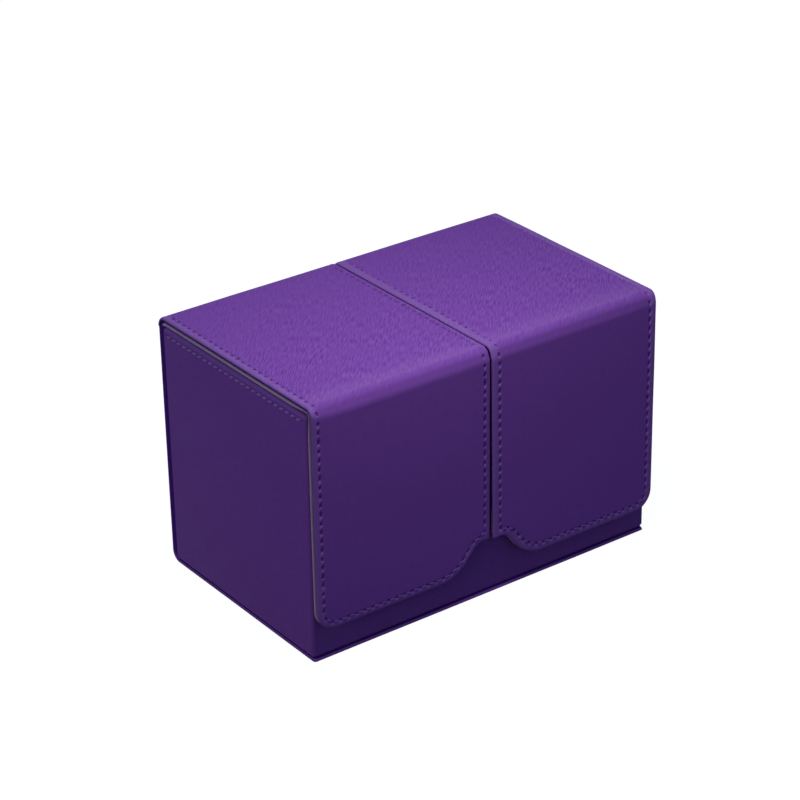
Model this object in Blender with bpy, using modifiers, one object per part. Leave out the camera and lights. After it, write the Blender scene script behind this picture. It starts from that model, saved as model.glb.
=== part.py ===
# Two-bay card storage box in wrapped board.
#
# A rigid inner box with two open bays stands on, and leans against, a wrap-round cover. The cover is
# a row of panels, and between the panels a fold of bare skin: a thin base, then boarded ones for the
# back, two lids side by side, and a flap on each lid that drops over the front and is held by magnets.
# World frame: X across both bays, the flaps face -Y, Z up, origin under the middle of the base.
# Sizes are in metres.

import math

import bmesh
import bpy
from mathutils import Matrix, Vector

# Whole box, closed
BOX_WIDTH = 0.158
BOX_DEPTH = 0.100
BOX_HEIGHT = 0.1045

# Layers of the cover, from the outside in, and the line of glue between any two pieces
SKIN = 0.0008
COVER_BOARD = 0.0015
COVER_LINING = 0.0009
GLUE = 0.0003
LINING_SETBACK = 0.0003
TURNED_EDGE_RADIUS = 0.0010

# Folds, measured to the outer face of the skin
FRONT_FOLD_RADIUS = 0.0060
BACK_FOLD_RADIUS = 0.0045
FOLD_STEP_ANGLE = math.radians(9)

# Lids and flaps
SEAM = 0.0012
LID_CLEARANCE = 0.0004
FLAP_CLEARANCE = 0.0009
FLAP_HEM_HEIGHT = 0.0138
FLAP_CORNER_RADIUS = 0.0090
NOTCH_HEIGHT = 0.0118
NOTCH_HALF_WIDTH = 0.0067
NOTCH_RADIUS = 0.0100
NOTCH_ANGLE = math.radians(50.5)
ARC_STEP_ANGLE = math.radians(10)

# Base panel: skin turned over on itself, without a board
BASE_THICKNESS = 0.0012
BASE_ROUNDING = 0.0003
BASE_LEDGE = 0.0008
BASE_CORNER_RADIUS = 0.0030

# Inner box
COVER_OVERHANG = 0.0010
WALL_BOARD = 0.0020
BAY_LINING = 0.0006
RIM_TURN_IN = 0.0100
FLOOR_TURN_IN = 0.0120
BODY_CORNER_RADIUS = 0.0012
FLANGE_CORNER_RADIUS = 0.0010

# Magnets: one disc in the flap board faces one in the front wall
MAGNET_RADIUS = 0.0060
MAGNET_THICKNESS = 0.0010
MAGNET_RISE = 0.0200
MAGNET_INSET = 0.0190
CUT_OVERRUN = 0.0010

# How finely round shapes are drawn
ROUND_SIDES = 32
BEVEL_STEPS = 3
CORNER_STEPS = 4
BASE_CORNER_STEPS = 3
LEAST_ARC_STEPS = 2
SHARP_ANGLE = math.radians(40)

QUARTER_TURN = math.radians(90)

# Places that several pieces share
WELD = GLUE / 10
TURNED_EDGE = SKIN + GLUE + COVER_BOARD
COVER = TURNED_EDGE + GLUE + COVER_LINING
HALF_WIDTH = BOX_WIDTH / 2
HALF_SEAM = SEAM / 2
FRONT = -BOX_DEPTH / 2
BACK = BOX_DEPTH / 2
TOP = BOX_HEIGHT

BODY_HALF_WIDTH = HALF_WIDTH - COVER_OVERHANG
BODY_FRONT = FRONT + COVER + FLAP_CLEARANCE
BODY_BACK = BACK - COVER - GLUE
BODY_BOTTOM = BASE_THICKNESS + GLUE
RIM = TOP - COVER - LID_CLEARANCE

BOARD_INSET = SKIN + GLUE
BAY_INSET = BOARD_INSET + WALL_BOARD + GLUE
FLANGE_INSET = BAY_INSET + SKIN
WALL_BOTTOM = BODY_BOTTOM + SKIN + GLUE
WALL_TOP = RIM - SKIN - GLUE
BAY_FLOOR = WALL_BOTTOM + WALL_BOARD + GLUE
LINING_TOP = RIM - RIM_TURN_IN - GLUE
HALF_DIVIDER = WALL_BOARD / 2

COLOURS = {
    "skin": ((0.171, 0.062, 0.356), 0.50, 0.0),
    "board": ((0.330, 0.285, 0.225), 0.90, 0.0),
    "lining": ((0.545, 0.448, 0.597), 0.95, 0.0),
    "magnet": ((0.560, 0.560, 0.570), 0.30, 1.0),
}


def new_collection(name):
    collection = bpy.data.collections.new(name)
    bpy.context.scene.collection.children.link(collection)
    return collection


def new_material(finish, name):
    colour, roughness, metallic = COLOURS[finish]
    material = bpy.data.materials.new(name)
    material.use_nodes = True
    shader = material.node_tree.nodes["Principled BSDF"]
    shader.inputs["Base Color"].default_value = (*colour, 1)
    shader.inputs["Roughness"].default_value = roughness
    shader.inputs["Metallic"].default_value = metallic
    return material


def add_object(name, mesh, finish, place=None, carrier=None):
    """Puts a mesh in the parts collection, at its place in the world, carried by an empty."""
    part = bpy.data.objects.new(name, mesh)
    PARTS.objects.link(part)
    part.data.materials.clear()
    part.data.materials.append(new_material(finish, name))
    place = place or Matrix.Identity(4)
    if carrier:
        part.parent = carrier
        place = carrier.matrix_world.inverted() @ place
    part.matrix_local = place
    return part


def add_axis(name, place, carrier=None):
    """An empty on a hinge line, which carries the pieces that turn about it."""
    axis = bpy.data.objects.new(name, None)
    PARTS.objects.link(axis)
    axis.empty_display_size = COVER
    world = Matrix.Translation(place)
    if carrier:
        axis.parent = carrier
        axis.matrix_local = carrier.matrix_world.inverted() @ world
    else:
        axis.matrix_local = world
    bpy.context.view_layer.update()
    return axis


def mesh_from(bm, name, outward=None):
    """Ends a bmesh as a mesh. An open surface says which way its largest face looks."""
    bmesh.ops.recalc_face_normals(bm, faces=bm.faces)
    if outward:
        largest = max(bm.faces, key=lambda face: face.calc_area() * abs(face.normal.dot(outward)))
        if largest.normal.dot(outward) < 0:
            bmesh.ops.reverse_faces(bm, faces=bm.faces)
    mesh = bpy.data.meshes.new(name)
    bm.to_mesh(mesh)
    bm.free()
    return mesh


def box_mesh(name, low, high, open_sides=()):
    """A box between two corners, without the faces that look along the open sides."""
    size = Vector(high) - Vector(low)
    middle = (Vector(high) + Vector(low)) / 2
    bm = bmesh.new()
    bmesh.ops.create_cube(bm, size=1, matrix=Matrix.Translation(middle) @ Matrix.Diagonal((*size, 1)))
    bm.normal_update()
    ways = [Vector(way) for way in open_sides]
    dropped = [face for face in bm.faces if any(face.normal.angle(way) < SHARP_ANGLE for way in ways)]
    bmesh.ops.delete(bm, geom=dropped, context="FACES")
    mesh = bpy.data.meshes.new(name)
    bm.to_mesh(mesh)
    bm.free()
    return mesh


def disc_mesh(name, radius, thickness):
    """A disc that stands on its own XY plane."""
    bm = bmesh.new()
    bmesh.ops.create_cone(
        bm,
        cap_ends=True,
        segments=ROUND_SIDES,
        radius1=radius,
        radius2=radius,
        depth=thickness,
        matrix=Matrix.Translation((0, 0, thickness / 2)),
    )
    return mesh_from(bm, name)


def plate_mesh(name, outline, top, thickness):
    """A flat board cut to an outline. Its upper face lies at the height top of its own frame."""
    curve = bpy.data.curves.new(name, "CURVE")
    curve.dimensions = "2D"
    curve.fill_mode = "BOTH"
    curve.extrude = thickness / 2
    spline = curve.splines.new("POLY")
    spline.points.add(len(outline) - 1)
    for point, (x, y) in zip(spline.points, outline):
        point.co = (x, y, 0, 1)
    spline.use_cyclic_u = True
    drawn = bpy.data.objects.new(name, curve)
    bpy.context.scene.collection.objects.link(drawn)
    bpy.context.view_layer.update()
    mesh = bpy.data.meshes.new_from_object(drawn.evaluated_get(bpy.context.evaluated_depsgraph_get()))
    bpy.data.objects.remove(drawn)
    bpy.data.curves.remove(curve)
    bm = bmesh.new()
    bm.from_mesh(mesh)
    bpy.data.meshes.remove(mesh)
    bmesh.ops.remove_doubles(bm, verts=bm.verts, dist=WELD)
    bmesh.ops.translate(bm, verts=bm.verts, vec=(0, 0, top - thickness / 2))
    return mesh_from(bm, name)


def add_bevel(part, width):
    bevel = part.modifiers.new("rounded", "BEVEL")
    bevel.width = width
    bevel.segments = BEVEL_STEPS
    bevel.limit_method = "ANGLE"
    bevel.angle_limit = SHARP_ANGLE


def add_thickness(part, thickness):
    """Gives an open surface its thickness on the inner side, so that the surface stays the outside."""
    shell = part.modifiers.new("thickness", "SOLIDIFY")
    shell.thickness = thickness
    shell.offset = -1
    shell.use_even_offset = True
    shell.use_quality_normals = True


def cut_hole(part, radius, low, high):
    """Cuts a round hole along the part's own Z, with the cutter in the same frame as the part."""
    name = f"{part.name}_cutter_{len(CUTTERS.objects)}"
    cutter = bpy.data.objects.new(name, disc_mesh(name, radius, high.z - low.z))
    CUTTERS.objects.link(cutter)
    cutter.matrix_world = part.matrix_world @ Matrix.Translation(low)
    cutter.hide_render = True
    cutter.display_type = "WIRE"
    cut = part.modifiers.new("hole", "BOOLEAN")
    cut.operation = "DIFFERENCE"
    cut.solver = "EXACT"
    cut.object = cutter


def arc(centre, radius, start, end, step=ARC_STEP_ANGLE):
    """Points along an arc, both ends included. Angles are in radians."""
    count = max(LEAST_ARC_STEPS, round(abs(end - start) / step))
    turns = [start + (end - start) * index / count for index in range(count + 1)]
    x, y = centre
    return [(x + radius * math.cos(turn), y + radius * math.sin(turn)) for turn in turns]


# Outlines. Each takes an inset, so that skin, board and lining of one panel follow one drawing, and
# each starts and ends on the panel's fold side, whose edge isn't turned in.


def lid_outline(inset):
    """Right-hand lid in its own plane, from its front fold to its back fold."""
    inner = HALF_SEAM + inset
    outer = HALF_WIDTH - inset
    front = FRONT + FRONT_FOLD_RADIUS
    back = BACK - BACK_FOLD_RADIUS
    return [(outer, front), (outer, back), (inner, back), (inner, front)]


def flap_outline(inset):
    """Right-hand flap: down the seam, round the finger notch, along the hem and up the outer side."""
    inner = HALF_SEAM + inset
    outer = HALF_WIDTH - inset
    fold = TOP - FRONT_FOLD_RADIUS
    hem = FLAP_HEM_HEIGHT
    notch_top = hem + NOTCH_HEIGHT
    tangent = NOTCH_RADIUS * math.tan(NOTCH_ANGLE / 2)
    flank = NOTCH_HEIGHT / math.tan(NOTCH_ANGLE)
    hollow = (NOTCH_HALF_WIDTH - tangent, notch_top - NOTCH_RADIUS)
    shoulder = (NOTCH_HALF_WIDTH + flank + tangent, hem + NOTCH_RADIUS)
    corner = (HALF_WIDTH - FLAP_CORNER_RADIUS, hem + FLAP_CORNER_RADIUS)
    up = QUARTER_TURN
    down = 3 * QUARTER_TURN
    points = [(inner, fold), (inner, notch_top + inset)]
    points += arc(hollow, NOTCH_RADIUS + inset, up, up - NOTCH_ANGLE)
    points += arc(shoulder, NOTCH_RADIUS - inset, down - NOTCH_ANGLE, down)
    points += arc(corner, FLAP_CORNER_RADIUS - inset, down, 4 * QUARTER_TURN)
    return points + [(outer, fold)]


def base_outline():
    """Base panel seen from below, with its front corners rounded."""
    front = -(BODY_FRONT - BASE_LEDGE)
    fold = -(BACK - BACK_FOLD_RADIUS)
    centre = (HALF_WIDTH - BASE_CORNER_RADIUS, front - BASE_CORNER_RADIUS)
    corner = arc(centre, BASE_CORNER_RADIUS, 0, QUARTER_TURN, QUARTER_TURN / BASE_CORNER_STEPS)
    right = [(HALF_WIDTH, fold), *corner]
    left = [(-x, y) for x, y in reversed(right)]
    return right + left


def back_outline(inset):
    """Back panel, between the fold at the base and the fold at the lids."""
    side = HALF_WIDTH - inset
    low = BACK_FOLD_RADIUS
    high = TOP - BACK_FOLD_RADIUS
    return [(side, low), (side, high), (-side, high), (-side, low)]


def mirrored(outline):
    return lambda inset: [(-x, y) for x, y in reversed(outline(inset))]


def skin_mesh(name, outline, open_edges):
    """The skin of a panel: a flat face with its edges turned down, but for those at a fold."""
    bm = bmesh.new()
    corners = [bm.verts.new((x, y, 0)) for x, y in outline]
    bm.faces.new(corners)
    count = len(corners)
    turned = [
        bm.edges.get((corners[index], corners[(index + 1) % count]))
        for index in range(count)
        if index not in open_edges
    ]
    strip = bmesh.ops.extrude_edge_only(bm, edges=turned)["geom"]
    lower = [item for item in strip if isinstance(item, bmesh.types.BMVert)]
    bmesh.ops.translate(bm, verts=lower, vec=(0, 0, -TURNED_EDGE))
    return mesh_from(bm, name, Vector((0, 0, 1)))


def add_panel(prefix, outline, open_edges, place, carrier=None):
    """One boarded panel of the cover: skin with turned edges, board inside it, lining beneath."""
    skin = add_object(
        f"{prefix}_skin", skin_mesh(f"{prefix}_skin", outline(0), open_edges), "skin", place, carrier
    )
    add_bevel(skin, TURNED_EDGE_RADIUS)
    add_thickness(skin, SKIN)
    board = plate_mesh(f"{prefix}_board", outline(BOARD_INSET), -BOARD_INSET, COVER_BOARD)
    board = add_object(f"{prefix}_board", board, "board", place, carrier)
    lining = plate_mesh(f"{prefix}_lining", outline(LINING_SETBACK), -(TURNED_EDGE + GLUE), COVER_LINING)
    add_object(f"{prefix}_lining", lining, "lining", place, carrier)
    return board


def fold_mesh(name, centre, outer, inner, start, length_low, length_high):
    """A quarter-round band along X. Its section lies in YZ, about a centre, from an angle on."""
    trim = GLUE / outer
    end = start + QUARTER_TURN - trim
    start = start + trim
    section = arc(centre, outer, start, end, FOLD_STEP_ANGLE)
    section += arc(centre, inner, end, start, FOLD_STEP_ANGLE)
    mesh = plate_mesh(name, section, 0, length_high - length_low)
    mesh.transform(Matrix.Translation((length_high, 0, 0)) @ ALONG_X)
    return mesh


def add_fold(prefix, centre, radius, start, sides, carrier=None, lined=True):
    """The bare skin between two panels, and the lining that fills it out where no board runs."""
    low, high = sides
    skin = fold_mesh(f"{prefix}_skin", centre, radius, radius - SKIN, start, low, high)
    add_object(f"{prefix}_skin", skin, "skin", None, carrier)
    if lined:
        low, high = low + LINING_SETBACK, high - LINING_SETBACK
        inside = radius - BOARD_INSET
        lining = fold_mesh(f"{prefix}_lining", centre, inside, radius - COVER, start, low, high)
        add_object(f"{prefix}_lining", lining, "lining", None, carrier)


# Turns from a panel's own frame, where it lies flat with its outside up, to its place in the world,
# and from a section drawn flat to one that stands across X
STAND_UP = Matrix.Rotation(QUARTER_TURN, 4, "X")
LID_PLACE = Matrix.Translation((0, 0, TOP))
FLAP_PLACE = Matrix.Translation((0, FRONT, 0)) @ STAND_UP
BACK_PLACE = Matrix.Translation((0, BACK, 0)) @ Matrix.Rotation(2 * QUARTER_TURN, 4, "Z") @ STAND_UP
BASE_PLACE = Matrix.Rotation(2 * QUARTER_TURN, 4, "X")
ALONG_X = Matrix(((0, 0, 1), (1, 0, 0), (0, 1, 0))).to_4x4()


def magnet_places():
    """Where the two magnets of the right-hand flap lie, in the flap's own plane."""
    height = FLAP_HEM_HEIGHT + MAGNET_RISE
    return [(HALF_SEAM + MAGNET_INSET, height), (HALF_WIDTH - MAGNET_INSET, height)]


def add_cover_base():
    base = plate_mesh("base_skin", base_outline(), 0, BASE_THICKNESS)
    add_bevel(add_object("base_skin", base, "skin", BASE_PLACE), BASE_ROUNDING)
    add_panel("back", back_outline, {1, 3}, BACK_PLACE)
    centre = (BACK - BACK_FOLD_RADIUS, BACK_FOLD_RADIUS)
    sides = (-HALF_WIDTH, HALF_WIDTH)
    add_fold("lower_fold", centre, BACK_FOLD_RADIUS, 3 * QUARTER_TURN, sides, lined=False)


def add_lid(side, sign):
    """A lid, the fold that joins it to the back, its flap, and the fold between the two."""
    right = sign > 0
    sides = sorted((sign * HALF_SEAM, sign * HALF_WIDTH))
    middle = sum(sides) / 2
    hinge = add_axis(f"{side}_lid_axis", (middle, BACK, TOP))
    setback = FRONT_FOLD_RADIUS * (1 - math.pi / 4)
    knuckle = add_axis(f"{side}_flap_axis", (middle, FRONT + setback, TOP - setback), hinge)

    back_centre = (BACK - BACK_FOLD_RADIUS, TOP - BACK_FOLD_RADIUS)
    add_fold(f"{side}_rear_fold", back_centre, BACK_FOLD_RADIUS, 0, sides)

    outline = lid_outline if right else mirrored(lid_outline)
    add_panel(f"{side}_lid", outline, {1, 3}, LID_PLACE, hinge)

    front_centre = (FRONT + FRONT_FOLD_RADIUS, TOP - FRONT_FOLD_RADIUS)
    add_fold(f"{side}_front_fold", front_centre, FRONT_FOLD_RADIUS, QUARTER_TURN, sides, hinge)

    outline = flap_outline if right else mirrored(flap_outline)
    board = add_panel(f"{side}_flap", outline, {len(outline(0)) - 1}, FLAP_PLACE, knuckle)
    bpy.context.view_layer.update()
    floor = -(BOARD_INSET + COVER_BOARD)
    rest = floor + (COVER_BOARD - MAGNET_THICKNESS) / 2
    for number, (x, y) in enumerate(magnet_places(), 1):
        low = Vector((sign * x, y, floor - CUT_OVERRUN))
        high = Vector((sign * x, y, -BOARD_INSET + CUT_OVERRUN))
        cut_hole(board, MAGNET_RADIUS + GLUE, low, high)
        disc = disc_mesh(f"{side}_flap_magnet_{number}", MAGNET_RADIUS, MAGNET_THICKNESS)
        disc.transform(Matrix.Translation((sign * x, y, rest)))
        add_object(f"{side}_flap_magnet_{number}", disc, "magnet", FLAP_PLACE, knuckle)


def add_walls():
    """Four wall boards and a floor board, with a line of glue at each joint."""
    side = BODY_HALF_WIDTH - BOARD_INSET
    front = BODY_FRONT + BOARD_INSET
    back = BODY_BACK - BOARD_INSET
    inner = side - WALL_BOARD
    between = inner - GLUE
    for name, sign in (("left_wall_board", -1), ("right_wall_board", 1)):
        low, high = sorted((sign * side, sign * inner))
        mesh = box_mesh(name, (low, front, WALL_BOTTOM), (high, back, WALL_TOP))
        add_object(name, mesh, "board")
    rear = box_mesh(
        "rear_wall_board", (-between, back - WALL_BOARD, WALL_BOTTOM), (between, back, WALL_TOP)
    )
    add_object("rear_wall_board", rear, "board")
    floor_front = front + WALL_BOARD + GLUE
    floor_back = back - WALL_BOARD - GLUE
    floor = box_mesh(
        "floor_board",
        (-between, floor_front, WALL_BOTTOM),
        (between, floor_back, WALL_BOTTOM + WALL_BOARD),
    )
    add_object("floor_board", floor, "board")
    add_front_wall(front, between)


def add_front_wall(front, between):
    """The front wall board, drawn as the flaps are, with a blind pocket for each of its magnets."""
    right = [(between, WALL_BOTTOM), (between, WALL_TOP)]
    outline = right + [(-x, z) for x, z in reversed(right)]
    place = Matrix.Translation((0, front, 0)) @ STAND_UP
    mesh = plate_mesh("front_wall_board", outline, 0, WALL_BOARD)
    wall = add_object("front_wall_board", mesh, "board", place)
    bpy.context.view_layer.update()
    for side, sign in (("left", -1), ("right", 1)):
        for number, (x, y) in enumerate(magnet_places(), 1):
            low = Vector((sign * x, y, -(MAGNET_THICKNESS + GLUE)))
            cut_hole(wall, MAGNET_RADIUS + GLUE, low, Vector((sign * x, y, CUT_OVERRUN)))
            disc = disc_mesh(f"{side}_wall_magnet_{number}", MAGNET_RADIUS, MAGNET_THICKNESS)
            disc.transform(Matrix.Translation((sign * x, y, -MAGNET_THICKNESS)))
            add_object(f"{side}_wall_magnet_{number}", disc, "magnet", place)


def ring(bm, inset, radius, height):
    """A closed loop of points round the inner box, rounded at its four corners."""
    side = BODY_HALF_WIDTH - inset
    front = BODY_FRONT + inset
    back = BODY_BACK - inset
    centres = [
        (side - radius, back - radius),
        (-side + radius, back - radius),
        (-side + radius, front + radius),
        (side - radius, front + radius),
    ]
    points = []
    for quarter, centre in enumerate(centres):
        start = quarter * QUARTER_TURN
        points += arc(centre, radius, start, start + QUARTER_TURN, QUARTER_TURN / CORNER_STEPS)
    return [bm.verts.new((x, y, height)) for x, y in points]


def add_body_skin():
    """One band of skin round the inner box, turned in under the floor and over the rim."""
    bm = bmesh.new()
    loops = [
        ring(bm, FLOOR_TURN_IN, FLANGE_CORNER_RADIUS, BODY_BOTTOM),
        ring(bm, 0, BODY_CORNER_RADIUS, BODY_BOTTOM),
        ring(bm, 0, BODY_CORNER_RADIUS, RIM),
        ring(bm, FLANGE_INSET, FLANGE_CORNER_RADIUS, RIM),
        ring(bm, FLANGE_INSET, FLANGE_CORNER_RADIUS, RIM - RIM_TURN_IN),
    ]
    for lower, upper in zip(loops, loops[1:]):
        for index in range(len(lower)):
            bm.faces.new((lower[index - 1], lower[index], upper[index], upper[index - 1]))
    band = add_object("body_skin", mesh_from(bm, "body_skin", Vector((0, 0, -1))), "skin")
    add_bevel(band, TURNED_EDGE_RADIUS)
    add_thickness(band, SKIN)


def add_bay_lining(side, sign):
    """The cloth-faced card that lines one bay: floor and four walls, open at the top."""
    outer = BODY_HALF_WIDTH - BAY_INSET
    inner = HALF_DIVIDER + GLUE
    low_x, high_x = sorted((sign * outer, sign * inner))
    low = (low_x, BODY_FRONT + BAY_INSET, BAY_FLOOR)
    high = (high_x, BODY_BACK - BAY_INSET, LINING_TOP)
    name = f"{side}_bay_lining"
    shell = box_mesh(name, low, high, open_sides=[(0, 0, 1)])
    add_thickness(add_object(name, shell, "lining"), BAY_LINING)


def add_divider():
    """The board between the bays, notched at its top corners to pass the turned-in rim."""
    front = BODY_FRONT + BOARD_INSET + WALL_BOARD + GLUE
    back = BODY_BACK - BOARD_INSET - WALL_BOARD - GLUE
    notch_front = BODY_FRONT + FLANGE_INSET + GLUE
    notch_back = BODY_BACK - FLANGE_INSET - GLUE
    notch = RIM - RIM_TURN_IN - GLUE
    outline = [
        (front, BAY_FLOOR),
        (back, BAY_FLOOR),
        (back, notch),
        (notch_back, notch),
        (notch_back, WALL_TOP),
        (notch_front, WALL_TOP),
        (notch_front, notch),
        (front, notch),
    ]
    board = plate_mesh("divider_board", outline, HALF_DIVIDER, WALL_BOARD)
    add_object("divider_board", board, "board", ALONG_X)
    half = HALF_DIVIDER + GLUE + SKIN
    low = (-half, notch_front, RIM - RIM_TURN_IN)
    open_sides = [(0, 0, -1), (0, 1, 0), (0, -1, 0)]
    mesh = box_mesh("divider_cap", low, (half, notch_back, RIM), open_sides)
    cap = add_object("divider_cap", mesh, "skin")
    add_bevel(cap, TURNED_EDGE_RADIUS)
    add_thickness(cap, SKIN)


for thing in list(bpy.data.objects):
    bpy.data.objects.remove(thing)
PARTS = new_collection("card_storage_box")
CUTTERS = new_collection("cutters")
CUTTERS.hide_render = True
add_cover_base()
add_walls()
add_body_skin()
add_divider()
for SIDE, SIGN in (("left", -1), ("right", 1)):
    add_bay_lining(SIDE, SIGN)
    add_lid(SIDE, SIGN)
bpy.context.view_layer.update()
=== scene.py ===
import math

import bmesh
import bpy
from mathutils import Matrix, Vector, kdtree, noise
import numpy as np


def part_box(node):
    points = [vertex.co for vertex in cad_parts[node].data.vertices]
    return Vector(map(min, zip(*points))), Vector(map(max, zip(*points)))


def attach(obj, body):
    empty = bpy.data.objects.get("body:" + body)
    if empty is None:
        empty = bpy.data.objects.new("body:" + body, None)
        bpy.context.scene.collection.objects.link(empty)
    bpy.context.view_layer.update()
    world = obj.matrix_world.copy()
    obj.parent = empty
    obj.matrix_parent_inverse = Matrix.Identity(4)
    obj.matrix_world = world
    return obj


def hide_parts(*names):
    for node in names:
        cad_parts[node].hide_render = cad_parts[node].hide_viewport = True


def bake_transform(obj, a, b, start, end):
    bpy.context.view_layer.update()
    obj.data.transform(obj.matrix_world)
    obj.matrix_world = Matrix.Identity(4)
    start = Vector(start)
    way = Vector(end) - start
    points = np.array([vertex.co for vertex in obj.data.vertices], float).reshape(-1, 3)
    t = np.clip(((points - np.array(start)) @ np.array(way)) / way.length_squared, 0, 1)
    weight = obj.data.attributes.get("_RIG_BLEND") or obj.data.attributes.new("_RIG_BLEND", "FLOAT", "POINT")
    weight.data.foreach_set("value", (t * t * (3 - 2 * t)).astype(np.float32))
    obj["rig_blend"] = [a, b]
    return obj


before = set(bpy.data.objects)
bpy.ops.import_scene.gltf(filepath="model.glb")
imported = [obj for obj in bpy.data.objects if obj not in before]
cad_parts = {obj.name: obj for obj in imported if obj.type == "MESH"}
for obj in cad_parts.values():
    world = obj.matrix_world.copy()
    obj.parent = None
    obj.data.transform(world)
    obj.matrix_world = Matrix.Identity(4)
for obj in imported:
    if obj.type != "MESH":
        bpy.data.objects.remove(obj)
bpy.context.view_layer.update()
scene = bpy.context.scene
mm = 0.001

# The camera stands at the front left of the box, a little above it, and looks through a long
# lens. Its place and its turn come from a camera fitted to the corners of the photographed box.
camera = bpy.data.cameras.new("camera")
camera.sensor_width = 36
camera.lens = 120.95
camera.clip_start = 0.05
camera.clip_end = 20
camera_holder = bpy.data.objects.new("camera", camera)
scene.collection.objects.link(camera_holder)
camera_holder.matrix_world = (
    Matrix.Translation(Vector((-538.43, -731.99, 525.79)) * mm)
    @ Matrix.Rotation(math.radians(-36.096), 4, "Z")
    @ Matrix.Rotation(math.radians(90 - 26.947), 4, "X")
    @ Matrix.Rotation(math.radians(-1.0523), 4, "Z")
)
scene.camera = camera_holder

# The studio: a white sweep under and behind the box, one soft lamp just above it, a fill lamp far
# off on its left, and a cool room. The sweep shows white, keeps the box's soft shadow and throws
# hardly any light back.


def colour(code):
    """An sRGB colour code as the linear red, green, blue and 1 that sockets take."""
    parts = [int(code[place:place + 2], 16) / 255 for place in (0, 2, 4)]
    return [part / 12.92 if part <= 0.04045 else ((part + 0.055) / 1.055) ** 2.4 for part in parts] + [1]


def add(tree, kind, inputs=(), **settings):
    """Add a shader node with its settings; an input is a value or another node's output."""
    made = tree.nodes.new("ShaderNode" + kind)
    for name, value in settings.items():
        setattr(made, name, value)
    for name, value in dict(inputs).items():
        if isinstance(value, bpy.types.NodeSocket):
            tree.links.new(value, made.inputs[name])
        else:
            made.inputs[name].default_value = value
    return made


def empty_material(name):
    """A new material with nothing in it, and its tree."""
    material = bpy.data.materials.new(name)
    material.use_nodes = True
    material.node_tree.nodes.clear()
    return material, material.node_tree


def placed(bm, name, *materials):
    """Make a bmesh an object of the scene, smooth where its faces are smooth."""
    mesh = bpy.data.meshes.new(name)
    bm.to_mesh(mesh)
    bm.free()
    for material in materials:
        mesh.materials.append(material)
    made = bpy.data.objects.new(name, mesh)
    scene.collection.objects.link(made)
    return made


def seen_straight(tree):
    """1 for what the camera sees, by itself, in a gloss or through glass, and 0 for bounced light."""
    ray = add(tree, "LightPath")
    seen = add(tree, "Math", {0: ray.outputs["Is Camera Ray"], 1: ray.outputs["Is Glossy Ray"]},
               operation="MAXIMUM")
    return add(tree, "Math", {0: seen.outputs[0], 1: ray.outputs["Is Transmission Ray"]},
               operation="MAXIMUM")


sweep_white, tree = empty_material("white_paper_sweep")
# Matt white paper, lit up so that the camera sees it white with a soft shadow; the light that it
# throws back on the box is that of dark paper.
seen_white = seen_straight(tree)
lit_paper = add(tree, "BsdfDiffuse", {"Color": colour("303030")})
shadow_paper = add(tree, "BsdfDiffuse", {"Color": colour("7c7c7c")})
white_glow = add(tree, "Emission", {"Color": colour("ffffff"), "Strength": 0.955})
white_sweep = add(tree, "AddShader", {0: shadow_paper.outputs[0], 1: white_glow.outputs[0]})
sweep_mix = add(tree, "MixShader", {0: seen_white.outputs[0], 1: lit_paper.outputs[0],
                                    2: white_sweep.outputs[0]})
add(tree, "OutputMaterial", {"Surface": sweep_mix.outputs[0]})

bm = bmesh.new()
bmesh.ops.create_grid(bm, x_segments=1, y_segments=1, size=3)
floor = placed(bm, "floor", sweep_white)

world = bpy.data.worlds.new("room")
world.use_nodes = True
tree = world.node_tree
tree.nodes.clear()
seen_white = seen_straight(tree)
dim_room = add(tree, "Background", {"Color": colour("bcceff"), "Strength": 0.41})
white_room = add(tree, "Background", {"Color": colour("ffffff"), "Strength": 1.0})
room_mix = add(tree, "MixShader", {0: seen_white.outputs[0], 1: dim_room.outputs[0],
                                   2: white_room.outputs[0]})
add(tree, "OutputWorld", {"Surface": room_mix.outputs[0]})
scene.world = world


def area_lamp(name, place, target, size, watts):
    """A square soft white lamp at a place, turned to a target."""
    lamp = bpy.data.lights.new(name, "AREA")
    lamp.size = size
    lamp.energy = watts
    holder = bpy.data.objects.new(name, lamp)
    holder.location = place
    holder.rotation_euler = (Vector(target) - Vector(place)).to_track_quat("-Z", "Y").to_euler()
    scene.collection.objects.link(holder)


area_lamp("key_lamp", (-0.03, -0.091, 0.30), (0, 0, 0.10), 0.10, 0.342)
area_lamp("left_fill_lamp", (-1.30, -0.35, 0.50), (0, 0, 0.06), 0.60, 2.75)
scene.view_settings.view_transform = "Standard"

# The skin: polyurethane leatherette, nearly matt, pressed with a slanting cross grain, in one
# piece over base, back, lids and flaps. It is cut flat, glued to greyboard with its edges turned in,
# then wrapped round the box, so each piece is drawn flat here and wrapped afterwards.
lid_low, lid_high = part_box("left_lid_skin")
flap_low, flap_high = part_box("left_flap_skin")
back_low, back_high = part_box("back_skin")
base_low, base_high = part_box("base_skin")
top_height = lid_high.z
FRONT_FOLD = top_height - flap_high.z
REAR_FOLD = top_height - back_high.z
LOWER_FOLD = back_low.z
QUARTER_TURN = math.pi / 2
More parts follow.
